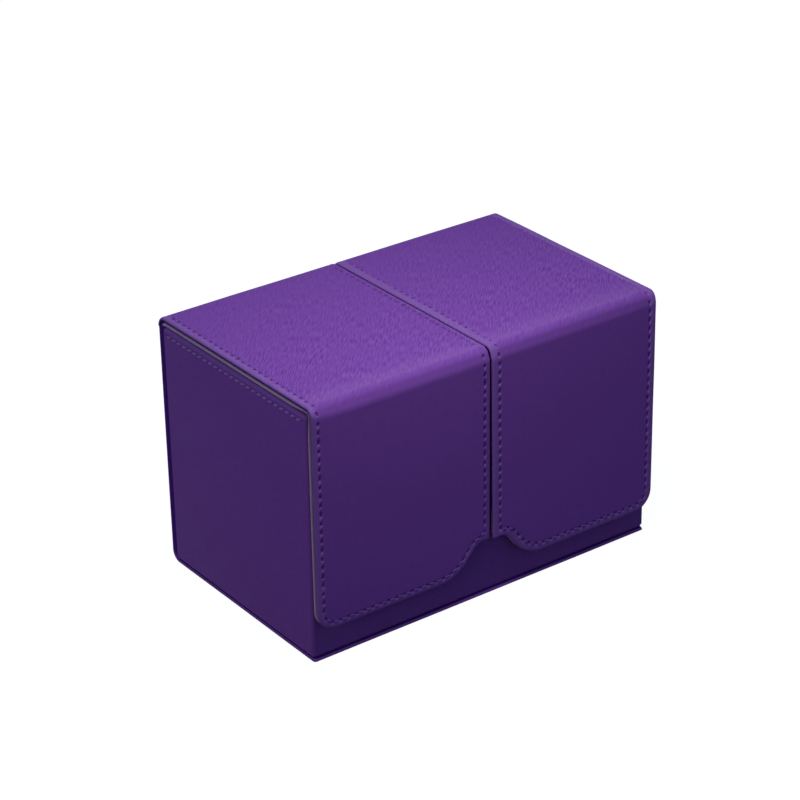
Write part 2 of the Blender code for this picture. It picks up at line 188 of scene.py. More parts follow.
# The way from mid-lid round the box, forward and backward, as straight lengths with the radius of
# the fold behind each, and then the places along it, forward counted up and backward down.
LEGS_FORWARD = [(-lid_low.y, FRONT_FOLD), (flap_high.z - flap_low.z, 0)]
LEGS_BACKWARD = [(lid_high.y, REAR_FOLD), (back_high.z - back_low.z, LOWER_FOLD),
                 (lid_high.y - base_low.y, 0)]
FRONT_FOLD_START = -lid_low.y
FLAP_START = FRONT_FOLD_START + QUARTER_TURN * FRONT_FOLD
REAR_FOLD_START = -lid_high.y
BACK_START = REAR_FOLD_START - QUARTER_TURN * REAR_FOLD
LOWER_FOLD_START = BACK_START - (back_high.z - back_low.z)
BASE_START = LOWER_FOLD_START - QUARTER_TURN * LOWER_FOLD
BASE_END = BASE_START - (lid_high.y - base_low.y)
outer_edge = base_high.x
# Half the seam between the two sides, and how much further each side draws back down the flap.
SEAM_HALF_GAP = 0.42 * mm
SEAM_WIDENING = 0.35 * mm

# The front fold's two creases by radius, then the stretch between them: its slant in degrees in
# mid-box and how that changes to either end, its share of the height left over, where it begins to
# give out before the left and the right end, how much of it is lost at the right end, and the
# tightest bend of a layer further in.
UPPER_CREASE = 3.4 * mm
LOWER_CREASE = 5.5 * mm
SLANT = 69
SLANT_CHANGE = 6
SLANT_SHARE = 0.85
LEFT_FADE = 14 * mm
RIGHT_FADE = 10 * mm
RIGHT_LOSS = 0.4
TIGHTEST_BEND = 0.2 * mm


def corner(share, x, fold, height):
    """Where a share of the way round a fold lies: how far ahead, and how far outward. The front fold
    has two creases with a slanting stretch between them, which gives out to the box's left end and
    in part to its right."""
    first = second = fold
    tilt = QUARTER_TURN / 2
    drop = 0
    if fold == FRONT_FOLD:
        left = min(1, (x + outer_edge) / LEFT_FADE)
        right = min(1, (outer_edge - x) / RIGHT_FADE)
        given = 1 - (1 - left) ** 2 - RIGHT_LOSS * (1 - right) ** 2
        tilt = math.radians(SLANT + SLANT_CHANGE * x / outer_edge)
        first = max(UPPER_CREASE, TIGHTEST_BEND - height)
        second = first + (LOWER_CREASE - first) * given
        drop = SLANT_SHARE * given * (fold - first * (1 - math.cos(tilt)) - second * math.cos(tilt))
    before = fold - first * math.sin(tilt) - drop / math.tan(tilt) - second * (1 - math.sin(tilt))
    after = fold - first * (1 - math.cos(tilt)) - drop - second * math.cos(tilt)
    slant_start = first * tilt
    slant_end = slant_start + drop / math.sin(tilt)
    arcs_end = slant_end + second * (QUARTER_TURN - tilt)
    reach = share * (before + arcs_end + after) - before
    if reach < 0:
        return reach + before, height
    upper = min(reach / first, tilt)
    on_slant = min(max(reach - slant_start, 0), slant_end - slant_start)
    turn = upper + min(max(reach - slant_end, 0) / second, QUARTER_TURN - tilt)
    lower = max(turn, tilt)
    ahead = (before + first * math.sin(upper) + on_slant * math.cos(tilt)
             + second * (math.sin(lower) - math.sin(tilt)))
    down = (first * (1 - math.cos(upper)) + on_slant * math.sin(tilt)
            + second * (math.cos(tilt) - math.cos(lower)) + max(reach - arcs_end, 0))
    return ahead + height * math.sin(turn), height * math.cos(turn) - down


def wrapped(flat):
    """Wrap a flat point round the box: x, the way along from mid-lid, and the height over the skin."""
    x, along, height = flat
    heading = Vector((0, -1, 0)) if along >= 0 else Vector((0, 1, 0))
    outward = Vector((0, 0, 1))
    place = Vector((x, 0, top_height))
    legs = LEGS_FORWARD if along >= 0 else LEGS_BACKWARD
    along = abs(along)
    for straight, fold in legs:
        if along <= straight or not fold:
            break
        place += heading * straight
        along -= straight
        if along < QUARTER_TURN * fold:
            ahead, out = corner(along / (QUARTER_TURN * fold), x, fold, height)
            return place + heading * ahead + outward * out
        place += (heading - outward) * fold
        along -= QUARTER_TURN * fold
        heading, outward = -outward, heading
    return place + heading * along + outward * height


def slab(corners, above, below, row_inset=None, shaded_backing=1):
    """A closed flat panel from its corners (x, along, corner radius) and the steps (inset, height)
    of its edge above and below. Its lower faces from the given inset on take the second material, the
    skin's backing painted dark as shade. Returns it and the closed line at row_inset."""
    bm = bmesh.new()
    points = [bm.verts.new((x, along, 0)) for x, along, radius in corners]
    bm.faces.new(points)
    for number, (x, along, radius) in enumerate(corners):
        if radius:
            before = Vector(corners[number - 1][:2]) - Vector((x, along))
            after = Vector(corners[(number + 1) % len(corners)][:2]) - Vector((x, along))
            turn = math.pi - before.angle(after)
            bmesh.ops.bevel(bm, geom=[points[number]], offset=radius * math.tan(turn / 2),
                            offset_type="OFFSET", affect="VERTICES", segments=18, profile=0.5, material=-1,
                            clamp_overlap=False)
    bm.faces.ensure_lookup_table()
    lower = bm.faces[0]
    grown = bmesh.ops.extrude_face_region(bm, geom=[lower])
    upper = [part for part in grown["geom"] if isinstance(part, bmesh.types.BMFace)][0]
    bmesh.ops.translate(bm, verts=upper.verts[:], vec=(0, 0, above[0][1]))
    bmesh.ops.translate(bm, verts=lower.verts[:], vec=(0, 0, below[0][1]))
    bm.normal_update()
    row = []
    inside = bm.verts.layers.float.new("inside")
    for face, steps in ((upper, above), (lower, below)):
        for (inset, height), (next_inset, next_height) in zip(steps, steps[1:]):
            ring = bmesh.ops.inset_region(bm, faces=[face], thickness=next_inset - inset,
                                          use_even_offset=True, use_boundary=True)["faces"]
            for part in ring:
                # Lower faces past the given inset take the dark backing, painted shade for the gap.
                part.material_index = int(face is lower and inset >= shaded_backing)
            bmesh.ops.translate(bm, verts=face.verts[:], vec=(0, 0, next_height - height))
            for point in face.verts:
                point[inside] = next_inset
            if row_inset is not None and face is upper and abs(next_inset - row_inset) < 0.01 * mm:
                row = [point.co.copy() for point in face.verts]
    lower.material_index = int(shaded_backing < 1)
    return bm, row


def round_corners(bm, radius):
    """Round a square-cut slab's corners, on all its faces, by the edges that run neither along the
    slab nor across it."""
    corners = []
    for edge in bm.edges:
        way = edge.verts[1].co - edge.verts[0].co
        if max(abs(way.x), abs(way.y)) < 0.9 * way.length:
            corners.append(edge)
    bmesh.ops.bevel(bm, geom=corners, offset=radius, offset_type="OFFSET", affect="EDGES", segments=5,
                    profile=0.5, material=-1)


def scored(bm, axis, values):
    """Cut a flat panel across at each value of an axis, so that it can bend or take a pit there."""
    normal = Vector((0, 0, 0))
    normal[axis] = 1
    for value in values:
        bmesh.ops.bisect_plane(bm, geom=bm.verts[:] + bm.edges[:] + bm.faces[:], dist=2e-6,
                               plane_co=normal * value, plane_no=normal)


def steps_between(low, high, step):
    """Values a step apart, at most, from low to high."""
    count = max(1, math.ceil((high - low) / step))
    return [low + (high - low) * number / count for number in range(count + 1)]


def trimmed(bm, low, high):
    """A copy of a flat panel between two places along it, its cut ends closed with a hard edge."""
    piece = bm.copy()
    for value, side in ((low, {"clear_inner": True}), (high, {"clear_outer": True})):
        if value is None:
            continue
        cut = bmesh.ops.bisect_plane(piece, geom=piece.verts[:] + piece.edges[:] + piece.faces[:],
                                     dist=2e-6, plane_co=(0, value, 0), plane_no=(0, 1, 0), **side)
        rim = [part for part in cut["geom_cut"] if isinstance(part, bmesh.types.BMEdge)]
        bmesh.ops.contextual_create(piece, geom=rim)
        for edge in rim:
            edge.smooth = False
    return piece


# A needle hole's depth, on the lids and elsewhere, and half its length and width, at its bottom
# and at its top; nothing further from it than its reach is pressed in.
LID_HOLE_DEPTH = 1.2 * mm
HOLE_DEPTH = 0.65 * mm
HOLE_HALF_LENGTH = (0.60 * mm, 0.84 * mm)
HOLE_HALF_WIDTH = (0.36 * mm, 0.56 * mm)
HOLE_REACH = 1.2 * mm
# How uneven the glued board is, how high the lining's upper side lies, and how far from the middle
# of the front fold and by how much the lining is drawn up there.
UNEVENNESS = 0.10 * mm
LINING_TOP = -2.3 * mm
PINCH_REACH = 9 * mm
PINCH_SHARE = 0.85


def uneven(x, along):
    """The slight unevenness of glued board, the same for all layers of a panel."""
    return UNEVENNESS * noise.noise(Vector((x / (31 * mm), along / (27 * mm), 4.2)))


def pinched(along, height):
    """The height with the lining drawn up to the skin at the front fold, where no board lies between."""
    near = max(0, 1 - ((along - (FRONT_FOLD_START + FLAP_START) / 2) / PINCH_REACH) ** 2)
    return height + PINCH_SHARE * near * max(0, LINING_TOP - height)


def press(bm, holes, depth_at):
    """Press a slot into a surface at each needle hole, where a thread goes down: steep sides and a
    flat bottom."""
    tree = kdtree.KDTree(max(1, len(holes)))
    for number, (hole, heading) in enumerate(holes):
        tree.insert(hole, number)
    tree.balance()
    for point in bm.verts:
        hole, number, distance = tree.find(point.co)
        if hole is None or distance > HOLE_REACH:
            continue
        heading = holes[number][1]
        ahead = abs((point.co - hole).dot(heading))
        aside = abs((point.co - hole).dot(heading.cross(point.normal)))
        depth = depth_at(hole)
        for reach, (bottom, top) in ((ahead, HOLE_HALF_LENGTH), (aside, HOLE_HALF_WIDTH)):
            depth *= max(0, min(1, (top - reach) / (top - bottom)))
        point.co -= point.normal * depth


# How pale the skin is painted, partly rubbed and partly a painted highlight where rolled edges and
# crease catch the lamps: at an edge of a lid, how much less that is on a flap, and on the crease at
# the lid's end. Then how far an edge's paling takes to fade inward and from lid to flap, how wide the
# band on the seam's left is that is paled less far in, where past the lid's end the crease's paling
# is strongest, and how far behind that it takes to fade.
EDGE_RUB_AND_HIGHLIGHT = 0.45
FLAP_RUB_AND_HIGHLIGHT_LOSS = 0.2
CREASE_RUB_AND_HIGHLIGHT = 0.3
RUB_AND_HIGHLIGHT_FADE = 0.9 * mm
FLAP_FADE = 8 * mm
SEAM_BAND = 4 * mm
CREASE_AHEAD = 1.6 * mm
CREASE_BEHIND = 9 * mm
# The grain's tone contrast, a painted sheen, gives out over this far past the lids, and is weaker
# towards their rear.
GRAIN_SHEEN_FADE = 6 * mm
GRAIN_SHEEN_MIDDLE = 0.8
GRAIN_SHEEN_RISE = 90 * mm


def wrap(bm, holes=(), worn_and_lit=0):
    """Press the holes into a flat panel, keep its flat place as UV in metres, how pale it is painted and
    how strong its grain's tone is, and wrap it. The crease at the lid's end is painted paler, and so are
    the edges as far in as the given width, but less beside the seam on its left and less on the flaps:
    partly rubbing, partly a painted highlight. The grain's tone is a painted sheen. Wrapping mirrors a
    panel, so its faces are turned to look outward again."""
    bmesh.ops.remove_doubles(bm, verts=bm.verts, dist=0.01 * mm)
    bmesh.ops.triangulate(bm, faces=[face for face in bm.faces if len(face.verts) > 4])
    bm.normal_update()
    sheet = bm.loops.layers.uv.new("flat")
    for face in bm.faces:
        face.smooth = True
        for loop in face.loops:
            loop[sheet].uv = loop.vert.co.xy
    press(bm, holes, lambda hole: LID_HOLE_DEPTH if abs(hole.y) < FRONT_FOLD_START else HOLE_DEPTH)
    inside = bm.verts.layers.float["inside"]
    rub_and_highlight = bm.verts.layers.float.new("rub_and_highlight")
    grain = bm.verts.layers.float.new("grain")
    for point in bm.verts:
        x, along, height = point.co
        # Paler by rubbing, and by a painted highlight where the edges and the crease catch the lamps.
        band = 1 if x > 0 else min(1, max(0, -x / SEAM_BAND - 1))
        rubbed_and_lit = min(1, max(0, (worn_and_lit * (0.35 + 0.65 * band) - point[inside]) / RUB_AND_HIGHLIGHT_FADE))
        rubbed_and_lit *= EDGE_RUB_AND_HIGHLIGHT - FLAP_RUB_AND_HIGHLIGHT_LOSS * min(1, max(0, (along - FRONT_FOLD_START) / FLAP_FADE))
        past = along - FRONT_FOLD_START - CREASE_AHEAD
        crease = max(0, 1 - past / CREASE_AHEAD if past > 0 else 1 + past / CREASE_BEHIND)
        point[rub_and_highlight] = max(rubbed_and_lit, CREASE_RUB_AND_HIGHLIGHT * crease)
        # The grain's tone strength, a painted sheen: full on the lids, fading past them, weaker to the rear.
        fading = max(0, 1 - (abs(along) - FRONT_FOLD_START) / GRAIN_SHEEN_FADE)
        point[grain] = min(1, fading, GRAIN_SHEEN_MIDDLE + along / GRAIN_SHEEN_RISE)
        point.co = wrapped((x, along, pinched(along, height) + uneven(x, along)))
    bmesh.ops.reverse_faces(bm, faces=bm.faces[:])


SKIN_UNDERSIDE = [(0, -0.82), (0.06, -0.93), (0.3, -0.99), (0.85, -1.0), (1.0, -2.66), (2.0, -2.66)]
TURN_IN_EDGE = 0.3 * mm
# The rings beside the middle of the stitch groove, in millimetres: its bottom, its lips, and one
# more, so that the smooth shading of the pressed holes ends there.
GROOVE_RINGS = (-0.68, -0.52, -0.34, 0, 0.34, 0.52, 0.68, 0.95)
GROOVE_HALF_BOTTOM = 0.4
GROOVE_HEIGHT = -0.06


def skin_steps(groove, edge=0.78):
    """The edge of a boarded panel in millimetres: a rounded turned edge, then the stitch groove."""
    steps = [(0, -edge), (0.07, -0.61 * edge), (0.26, -0.29 * edge), (0.55, -0.08 * edge), (0.9, 0),
             (1.5, 0.02)]
    return steps + [(groove + ring, GROOVE_HEIGHT if abs(ring) < GROOVE_HALF_BOTTOM else 0)
                    for ring in GROOVE_RINGS]


def in_metres(steps):
    """Steps given in millimetres, in metres."""
    return [(inset * mm, height * mm) for inset, height in steps]


STITCH = 3.6 * mm


def open_row(line, end):
    """Open a closed row at the panel's end that is cut off, given by its place along."""
    count = len(line)
    reach = min(abs(point.y - end) for point in line) + 0.01 * mm
    cut = next(number for number in range(count)
               if abs(line[number].y - end) < reach and abs(line[(number + 1) % count].y - end) < reach)
    return [line[(cut + 1 + number) % count] for number in range(count)]


def holes_along(line, spacing, kept):
    """Holes a stitch apart along an open line, each with the row's heading, where kept allows."""
    lengths = [0]
    for first, second in zip(line, line[1:]):
        lengths.append(lengths[-1] + (second - first).length)
    count = round(lengths[-1] / spacing)
    holes = []
    place = 0
    for number in range(count + 1):
        reach = lengths[-1] * number / count
        while place < len(line) - 2 and lengths[place + 1] < reach:
            place += 1
        heading = line[place + 1] - line[place]
        share = (reach - lengths[place]) / max(heading.length, 1e-9)
        point = line[place] + heading * share
        if kept(point):
            holes.append((point, heading.normalized()))
    return holes


# How far to either side of a row of holes, and past its ends, the surface is cut.
STRIP_HALF_WIDTH = 0.66 * mm
STRIP_OVERHANG = 1.5 * mm


def score_holes(bm, holes):
    """Cut the surface beside each needle hole, along each straight run of its row, so that it has
    points to press in."""
    runs = []
    for hole, heading in holes:
        straight = runs and heading.dot(runs[-1][0][1]) > 0.9999
        if straight and (hole - runs[-1][-1][0]).length < 1.5 * STITCH:
            runs[-1].append((hole, heading))
        else:
            runs.append([(hole, heading)])
    for run in runs:
        start, heading = run[0]
        length = (run[-1][0] - start).length
        parts = set()
        for face in bm.faces:
            place = face.calc_center_median() - start
            ahead = place.dot(heading)
            beside = (place - heading * ahead).length
            if -STRIP_OVERHANG < ahead < length + STRIP_OVERHANG and beside < STRIP_HALF_WIDTH:
                parts.update([face, *face.edges, *face.verts])
        parts = list(parts)
        for hole, heading in run:
            for shift in (*HOLE_HALF_LENGTH, *(-reach for reach in HOLE_HALF_LENGTH)):
                parts = bmesh.ops.bisect_plane(bm, geom=parts, dist=2e-6, plane_co=hole + heading * shift,
                                               plane_no=heading)["geom"]


# Each panel is drawn longer than it is, by the offcut, and trimmed. Then the radii of a flap's
# outer corner, of its hem's corner at the notch and of the notch's own corner, and where, before
# and within the rear fold, the edge of a lining draws in.
OFFCUT = 22 * mm
OUTER_RADIUS = 8 * mm
HEM_RADIUS = 15 * mm
NOTCH_RADIUS = 4 * mm
TAPER_START = 4 * mm
TAPER_END = 0.4 * mm


def side_outline(side, hem, notch, top_corner, hem_corner, margin, seam_margin, rear_margin):
    """One side's lid and flap laid out flat, with the finger notch, smaller all round by margin, more
    so at the seam and behind the rear fold. The seam opens a little wider down the flap."""
    seam = SEAM_HALF_GAP + seam_margin
    outer = outer_edge - margin
    hem_line = FLAP_START + flap_high.z - hem - margin
    notch_line = FLAP_START + flap_high.z - notch - margin
    flank = math.atan2(hem_line - notch_line, hem_corner - top_corner)
    shift = margin * math.tan(flank / 2)
    corners = [
        (seam, BACK_START - OFFCUT, 0),
        (outer_edge - rear_margin, BACK_START - OFFCUT, 0),
        (outer_edge - rear_margin, BACK_START + TAPER_END, 0),
        (outer, REAR_FOLD_START - TAPER_START, 0),
        (outer, hem_line, OUTER_RADIUS - margin),
        (hem_corner + shift, hem_line, HEM_RADIUS - margin),
        (top_corner + shift, notch_line, NOTCH_RADIUS + margin),
        (seam + SEAM_WIDENING, notch_line, 0),
        (seam, FRONT_FOLD_START, 0),
    ]
    if rear_margin == margin:
        del corners[2:4]
        corners[1] = (outer, BACK_START - OFFCUT, 0)
    if side > 0:
        return corners
    return [(-x, along, radius) for x, along, radius in reversed(corners)]


leatherette, tree = empty_material("purple_cross_grain_leatherette")
# Pressed polyurethane is nearly matt, its tone broken by slanting ridges about 0.9 mm apart. Their
# tone contrast is a painted sheen: strong in patches on the lids and weak elsewhere. It is paler
# where rubbed, and paler still as a painted highlight on the rolled edges and the front crease.
flat_place = add(tree, "UVMap", uv_map="flat")
along_ridges = add(tree, "Mapping", {"Vector": flat_place.outputs["UV"],
                                     "Rotation": (0, 0, math.radians(-46.5)),
                                     "Scale": (4.6 * mm, 0.46 * mm, 1)}, vector_type="TEXTURE")
ridges = add(tree, "TexNoise", {"Vector": along_ridges.outputs[0], "Scale": 1.0, "Detail": 0.8,
                                "Roughness": 0.4, "Distortion": 0.1})
pebbles = add(tree, "TexNoise", {"Vector": flat_place.outputs["UV"], "Scale": 2600, "Detail": 1.0})
patches = add(tree, "TexNoise", {"Vector": flat_place.outputs["UV"], "Scale": 90, "Detail": 2.0})
tone = add(tree, "MapRange", {"Value": ridges.outputs["Fac"], "From Min": 0.35, "From Max": 0.65,
                              "To Min": 0, "To Max": 1})
# The grain's tone strength: a painted sheen, full on the lids and weaker elsewhere.
grain_sheen = add(tree, "Attribute", attribute_name="grain")
patchy = add(tree, "MapRange", {"Value": patches.outputs["Fac"], "From Min": 0.35, "From Max": 0.6,
                                "To Min": 0.35, "To Max": 1.0})
grain_sheen = add(tree, "Math", {0: grain_sheen.outputs["Fac"], 1: patchy.outputs[0]}, operation="MULTIPLY")
grain_sheen = add(tree, "MapRange", {"Value": grain_sheen.outputs[0], "From Max": 1.1, "To Min": 0.15,
                                "To Max": 1.1})
tone = add(tree, "Mix", {"Factor": grain_sheen.outputs[0], "A": 0.5, "B": tone.outputs[0]})
dye = add(tree, "Mix", {"Factor": tone.outputs[0], "A": colour("6a398c"), "B": colour("8453a6")},
          data_type="RGBA")
# The paler colour: rubbing, and a painted highlight on the rolled edges and the crease.
worn_and_lit = add(tree, "Attribute", attribute_name="rub_and_highlight")
dye = add(tree, "Mix", {"Factor": worn_and_lit.outputs["Fac"], "A": dye.outputs[2], "B": colour("8e6ba8")},
          data_type="RGBA")
gloss = add(tree, "MapRange", {"Value": patches.outputs["Fac"], "From Min": 0.3, "From Max": 0.7,
                               "To Min": 0.48, "To Max": 0.54})
height = add(tree, "Math", {0: pebbles.outputs["Fac"], 1: 0.22, 2: ridges.outputs["Fac"]},
             operation="MULTIPLY_ADD")
grain = add(tree, "Bump", {"Height": height.outputs[0], "Distance": 0.03 * mm, "Strength": 1.0})
surface = add(tree, "BsdfPrincipled", {"Base Color": dye.outputs[2], "Roughness": gloss.outputs[0],
                                       "IOR": 1.5, "Specular IOR Level": 0.01,
                                       "Normal": grain.outputs[0]})
add(tree, "OutputMaterial", {"Surface": surface.outputs[0]})

shaded_backing_cloth, tree = empty_material("knitted_backing_painted_shade")
# The skin's back is a knit, matt and ribbed, coloured dark as painted shade: the dark gap between
# skin and lining.
knit_place = add(tree, "UVMap", uv_map="flat")
ribs = add(tree, "TexWave", {"Vector": knit_place.outputs["UV"], "Scale": 400, "Distortion": 2.0})
shaded_knit = add(tree, "Mix", {"Factor": ribs.outputs["Fac"], "A": colour("3c1668"), "B": colour("4e2280")},
           data_type="RGBA")
surface = add(tree, "BsdfPrincipled", {"Base Color": shaded_knit.outputs[2], "Roughness": 0.95, "IOR": 1.5,
                                       "Specular IOR Level": 0.1})
add(tree, "OutputMaterial", {"Surface": surface.outputs[0]})

# The two sides differ a little, as photographed: the height over the table of the hem and of the
# notch, how far the notch's corners are from mid-box, and the groove from the edge in millimetres.
SIDES = {
    "left": dict(side=-1, hem=14.2 * mm, notch=25.9 * mm, top_corner=6.6 * mm, hem_corner=16.25 * mm,
                 groove=2.6),
    "right": dict(side=1, hem=12.4 * mm, notch=25.1 * mm, top_corner=6.9 * mm, hem_corner=16.8 * mm,
                  groove=3.3),
}
# How far past the groove an edge is painted paler, partly rubbing and partly a painted highlight,
# in millimetres, and how far from the fold at the rear the stitches end.
RUB_AND_HIGHLIGHT_PAST_GROOVE = 0.6
FOLD_CLEARANCE = 1.5 * mm
side_holes = {}
for name, cut in SIDES.items():
    shape = {key: cut[key] for key in ("side", "hem", "notch", "top_corner", "hem_corner")}
    outline = side_outline(margin=0, seam_margin=0, rear_margin=0, **shape)
    panel, row = slab(outline, in_metres(skin_steps(cut["groove"])), in_metres(SKIN_UNDERSIDE),
                      cut["groove"] * mm, TURN_IN_EDGE)
    side_holes[name] = holes_along(open_row(row, BACK_START - OFFCUT), STITCH,
                                   lambda point: point.y > REAR_FOLD_START + FOLD_CLEARANCE)
    scored(panel, 0, [cut["side"] * value
                      for value in steps_between(6 * mm, outer_edge - 6 * mm, 5 * mm)])
    scored(panel, 1, steps_between(FRONT_FOLD_START - 1.5 * mm, FLAP_START, 0.4 * mm)
           + steps_between(BACK_START, REAR_FOLD_START, 0.5 * mm)
           + steps_between(REAR_FOLD_START, FRONT_FOLD_START, 5 * mm)
           + steps_between(FLAP_START, FLAP_START + 82 * mm, 5 * mm))
    score_holes(panel, side_holes[name])
    front = trimmed(panel, 0, None)
    rear = trimmed(panel, BACK_START, 0)
    panel.free()
    for part in (front, rear):
        wrap(part, side_holes[name], (cut["groove"] + RUB_AND_HIGHLIGHT_PAST_GROOVE) * mm)
    front = placed(front, name + "_lid_and_flap_skin", leatherette, shaded_backing_cloth)
    rear = placed(rear, name + "_lid_rear_skin", leatherette, shaded_backing_cloth)
    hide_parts(name + "_flap_skin", name + "_front_fold_skin")
    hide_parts(name + "_lid_skin", name + "_rear_fold_skin")
    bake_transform(front, name + "_lid", name + "_flap", start=wrapped((0, FRONT_FOLD_START, 0)),
             end=wrapped((0, FLAP_START, 0)))
    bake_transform(rear, "box", name + "_lid", start=wrapped((0, BACK_START, 0)),
             end=wrapped((0, REAR_FOLD_START, 0)))

# The back and the base are one panel. It is set a little in from the lids' edge, has small round
# corners, which leave no room for the last groove ring, and no stitches under the base.
BACK_GROOVE = 2.25
BACK_EDGE = 0.62
BACK_SETBACK = 0.3 * mm
BACK_RADIUS = 0.9 * mm
BACK_UNDERSIDE = [(0, -0.66), (0.08, -0.76), (0.3, -0.82), (0.6, -0.85), (0.74, -2.66), (1.8, -2.66)]
back_edge = outer_edge - BACK_SETBACK
back_outline = [(-back_edge, BASE_END, 0), (back_edge, BASE_END, 0),
                (back_edge, BACK_START + OFFCUT, 0), (-back_edge, BACK_START + OFFCUT, 0)]
back_steps = skin_steps(BACK_GROOVE, BACK_EDGE)[:-1]
panel, row = slab(back_outline, in_metres(back_steps), in_metres(BACK_UNDERSIDE), BACK_GROOVE * mm,
                  TURN_IN_EDGE)
round_corners(panel, BACK_RADIUS)
back_holes = holes_along(open_row(row, BACK_START + OFFCUT), STITCH,
                         lambda point: LOWER_FOLD_START < point.y < BACK_START - FOLD_CLEARANCE)
scored(panel, 0, steps_between(-outer_edge + 6 * mm, outer_edge - 6 * mm, 6 * mm))
scored(panel, 1, steps_between(BASE_START, LOWER_FOLD_START, 0.5 * mm)
       + steps_between(BASE_END + 6 * mm, BASE_START, 6 * mm)
       + steps_between(LOWER_FOLD_START, BACK_START, 6 * mm))
score_holes(panel, back_holes)
back = trimmed(panel, None, BACK_START)
panel.free()
full_height = -in_metres(BACK_UNDERSIDE)[-1][1]
UNDERCUT_FILL = 12
# Round the lower fold and under the box the skin is turned over on itself with no board between:
# its edge goes straight down, and the whole thins to the height of the base.
for point in back.verts:
    share = min(1, max(0, (LOWER_FOLD_START - point.co.y) / (LOWER_FOLD_START - BASE_START)))
    below_edge = min(0, point.co.z + BACK_EDGE * mm)
    point.co.z = max(-full_height, point.co.z + below_edge * UNDERCUT_FILL * share)
    point.co.z *= 1 + (base_high.z / full_height - 1) * share
wrap(back, back_holes)
back = placed(back, "back_and_base_skin", leatherette, shaded_backing_cloth)
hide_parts("back_skin", "lower_fold_skin", "base_skin")
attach(back, "box")

# The stitching: a waxed polyester thread in the skin's purple, a little darker, in lockstitch through
# skin and lining all round each lid and flap, and down the back's two side edges. Each stitch lies
# on the skin between two holes.


def thread(name, dark, light):
    """Twisted polyester: matt and a little fuzzy; the twist is too fine to show at this size."""
    material, tree = empty_material(name)
    object_place = add(tree, "TexCoord")
    fuzz = add(tree, "TexNoise", {"Vector": object_place.outputs["Object"], "Scale": 3000, "Detail": 1.0})
    yarn = add(tree, "Mix", {"Factor": fuzz.outputs["Fac"], "A": colour(dark), "B": colour(light)},
               data_type="RGBA")
    twist = add(tree, "Bump", {"Height": fuzz.outputs["Fac"], "Distance": 0.05 * mm})
    surface = add(tree, "BsdfPrincipled", {"Base Color": yarn.outputs[2], "Roughness": 0.7, "IOR": 1.5,
                                           "Specular IOR Level": 0.1, "Normal": twist.outputs[0]})
    add(tree, "OutputMaterial", {"Surface": surface.outputs[0]})
    return material


thread_purple = thread("purple_polyester_thread", "5f3d85", "69458f")
THREAD_RADIUS = 0.34 * mm
TIGHT_ROW_SINK = 0.42 * mm
STITCH_SLANT = 0.14 * mm
# A stitch's line: the share of the way from hole to hole, and the height over the skin in mm.
STITCH_ARCH = [(0.2, -0.9), (0.225, -0.35), (0.3, 0), (0.5, 0.1), (0.7, 0), (0.775, -0.35), (0.8, -0.9)]


def stitches(name, holes, face_height, outward, kept):
    """Threads between neighbouring holes of a row, on a face at a height. The rows up the sides are
    sewn tighter than those across, so their thread lies deeper."""
    rows = bpy.data.curves.new(name, "CURVE")
    rows.dimensions = "3D"
    rows.bevel_depth = THREAD_RADIUS
    rows.bevel_resolution = 1
    rows.use_fill_caps = True
    for (first, _), (second, _) in zip(holes, holes[1:]):
        step = second - first
        if step.length > 1.5 * STITCH or not kept((first + second) / 2):
            continue
        slant = Vector((-step.y, step.x, 0)).normalized() * STITCH_SLANT
        sink = TIGHT_ROW_SINK if abs(step.y) > abs(step.x) else 0
        line = rows.splines.new("POLY")
        line.points.add(len(STITCH_ARCH) - 1)
        for point, (share, rise) in zip(line.points, STITCH_ARCH):
            flat = first + step * share + slant * (share * 2 - 1)
            point.co = (flat.x, flat.y, face_height + outward * (rise * mm - sink), 1)
    return rows


def made_mesh(curve):
    """A curve's mesh as a bmesh."""
    holder = bpy.data.objects.new(curve.name, curve)
    scene.collection.objects.link(holder)
    mesh = bpy.data.meshes.new_from_object(holder.evaluated_get(bpy.context.evaluated_depsgraph_get()))
    bpy.data.objects.remove(holder)
    bm = bmesh.new()
    bm.from_mesh(mesh)
    for face in bm.faces:
        face.smooth = True
    return bm


def wrapped_stitches(name, holes, face_height, outward, kept):
    """The threads of a row, wrapped round the box like the panel that they are sewn through."""
    bm = made_mesh(stitches(name, holes, face_height, outward, kept))
    for point in bm.verts:
        x, along, height = point.co
        point.co = wrapped((x, along, pinched(along, height) + uneven(x, along)))
    bmesh.ops.reverse_faces(bm, faces=bm.faces[:])
    made = placed(bm, name, thread_purple)
    return made


# Each row shows twice: on the skin, and on the lining's own face.
LINING_FACE = -3.8 * mm
for name, holes in side_holes.items():
    for layer, face_height, outward in (("outer", 0, 1), ("inner", LINING_FACE, -1)):
        front = wrapped_stitches(name + "_front_stitches_" + layer, holes, face_height, outward,
                                 lambda middle: middle.y >= 0)
        rear = wrapped_stitches(name + "_rear_stitches_" + layer, holes, face_height, outward,
                                lambda middle: middle.y < 0)
        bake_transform(front, name + "_lid", name + "_flap", start=wrapped((0, FRONT_FOLD_START, 0)),
                 end=wrapped((0, FLAP_START, 0)))
        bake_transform(rear, "box", name + "_lid", start=wrapped((0, BACK_START, 0)),
                 end=wrapped((0, REAR_FOLD_START, 0)))
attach(wrapped_stitches("back_stitches", back_holes, 0, 1, lambda middle: True), "box")

# The lining of the cover: mauve grey microfibre cloth glued to the boards' inner side, its edge in
# sight all round as a light line with a dark gap between it and the skin. It folds with the skin.
microfibre, tree = empty_material("grey_microfibre_lining")
